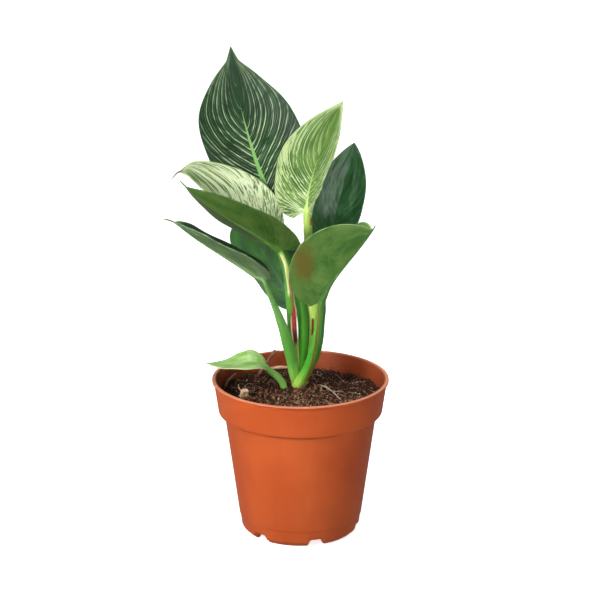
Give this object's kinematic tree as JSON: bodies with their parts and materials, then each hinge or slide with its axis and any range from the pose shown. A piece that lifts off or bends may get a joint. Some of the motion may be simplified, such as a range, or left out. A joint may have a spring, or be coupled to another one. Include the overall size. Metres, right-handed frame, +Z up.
{
  "type": "potted philodendron",
  "caption": "Young potted philodendron: broad pointed leaves striped and streaked with cream, on long green stalks from a short stem, in a tapered nursery pot filled with soil.",
  "frame": {"origin": "centre of the pot's underside, on the surface that the pot stands on", "axes": "+Z up along the pot's axis; -Y is the front of the plant, +X its right-hand side"},
  "size_m": [0.1306, 0.1069, 0.2849],
  "materials": {
    "pot_plastic": "satin",
    "soil": "matte",
    "stem": "satin",
    "petiole": "satin",
    "striped_leaf": "satin",
    "streaked_leaf": "satin",
    "cream_leaf": "satin",
    "leaf_underside": "satin",
    "young_leaf": "satin",
    "dry_sheath": "satin",
    "twig": "matte",
    "straw": "matte",
    "bark": "matte"
  },
  "bodies": {
    "root": {"pot": "pot_plastic", "soil": "soil", "stem": "stem", "petiole_tall": "petiole", "petiole_pale": "petiole", "petiole_cream": "petiole", "petiole_left": "petiole", "petiole_low": "petiole", "petiole_behind": "petiole", "petiole_right": "petiole", "petiole_folded": "petiole", "petiole_small": "young_leaf", "blade_tall": "striped_leaf", "blade_pale": "streaked_leaf", "blade_cream": "cream_leaf", "blade_left": "leaf_underside", "blade_low": "leaf_underside", "blade_behind": "striped_leaf", "blade_right": "striped_leaf", "blade_folded": "leaf_underside", "blade_small": "young_leaf", "sheath": "dry_sheath", "twig": "twig", "stick": "twig", "straw": "straw", "root": "straw", "bark_chip": "bark"}
  },
  "joints": []
}
